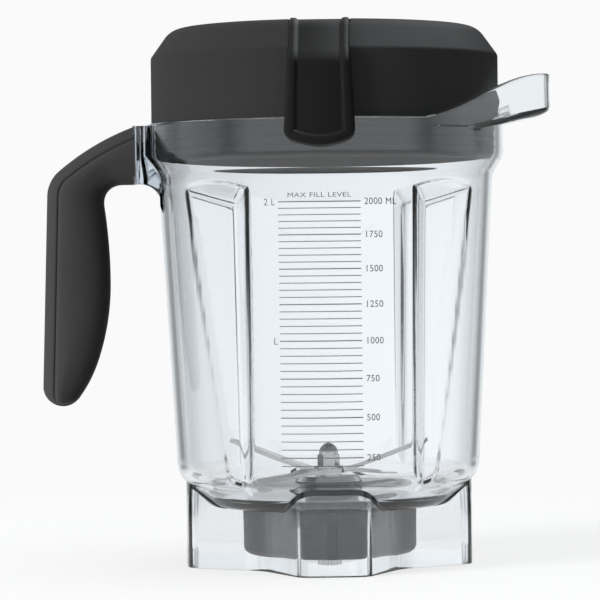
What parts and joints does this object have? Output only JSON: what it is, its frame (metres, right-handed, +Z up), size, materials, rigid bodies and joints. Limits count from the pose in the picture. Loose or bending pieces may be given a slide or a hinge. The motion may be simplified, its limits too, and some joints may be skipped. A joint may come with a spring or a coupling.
{
  "type": "blender jar",
  "caption": "Low clear tapered jar with fluted walls, pouring spout, open-ended side handle, black lid with hanging flaps, and a bladed shaft turning in bearings in its floor.",
  "frame": {"origin": "on the jar's axis at the level of its foot", "axes": "+Z up along the jar's axis, +X to the spout, -X to the handle, -Y to the front with the scale"},
  "size_m": [0.239, 0.1748, 0.2522],
  "materials": {
    "clear_plastic": "clear, polished",
    "grip_rubber": "fine matte",
    "lid_rubber": "fine matte",
    "plug_plastic": "clear",
    "housing_steel": "turned",
    "bearing_steel": "ground",
    "nut_metal": "satin",
    "blade_steel": "ground",
    "seal_rubber": "matte"
  },
  "bodies": {
    "jar": {"jar": "clear_plastic", "handle_grip": "grip_rubber", "bearing_housing": "housing_steel", "housing_gasket": "seal_rubber", "shaft_lip_seal": "seal_rubber", "bearing_retaining_ring": "bearing_steel", "upper_bearing_outer_ring": "bearing_steel", "upper_bearing_balls": "bearing_steel", "lower_bearing_outer_ring": "bearing_steel", "lower_bearing_balls": "bearing_steel", "retainer_nut": "nut_metal"},
    "agitator": {"drive_shaft": "housing_steel", "blade": "blade_steel", "blade_washer": "blade_steel", "blade_nut": "blade_steel", "blade_spacer": "housing_steel", "bearing_spacer": "housing_steel", "upper_bearing_inner_ring": "bearing_steel", "lower_bearing_inner_ring": "bearing_steel"},
    "lid": {"lid": "lid_rubber"},
    "front_flap": {"front_flap": "lid_rubber"},
    "rear_flap": {"rear_flap": "lid_rubber"},
    "lid_plug": {"lid_plug": "plug_plastic"}
  },
  "joints": [
    {"name": "blade_spin", "type": "hinge", "parent": "jar", "child": "agitator", "pos_m": [0, 0, 0.03], "axis": [0, 0, 1], "continuous": true},
    {"name": "lid_lift", "type": "slide", "parent": "jar", "child": "lid", "axis": [0, 0, 1], "range_m": [0, 0.06]},
    {"name": "front_flap_swing", "type": "hinge", "parent": "lid", "child": "front_flap", "pos_m": [-0.00377, -0.05988, 0.2504], "axis": [-0.998, 0.0628, 0], "range_deg": [0, 80]},
    {"name": "rear_flap_swing", "type": "hinge", "parent": "lid", "child": "rear_flap", "pos_m": [0.00377, 0.05988, 0.2504], "axis": [0.998, -0.0628, 0], "range_deg": [0, 80]},
    {"name": "plug_lift", "type": "slide", "parent": "lid", "child": "lid_plug", "axis": [0, 0, 1], "range_m": [0, 0.03]}
  ]
}
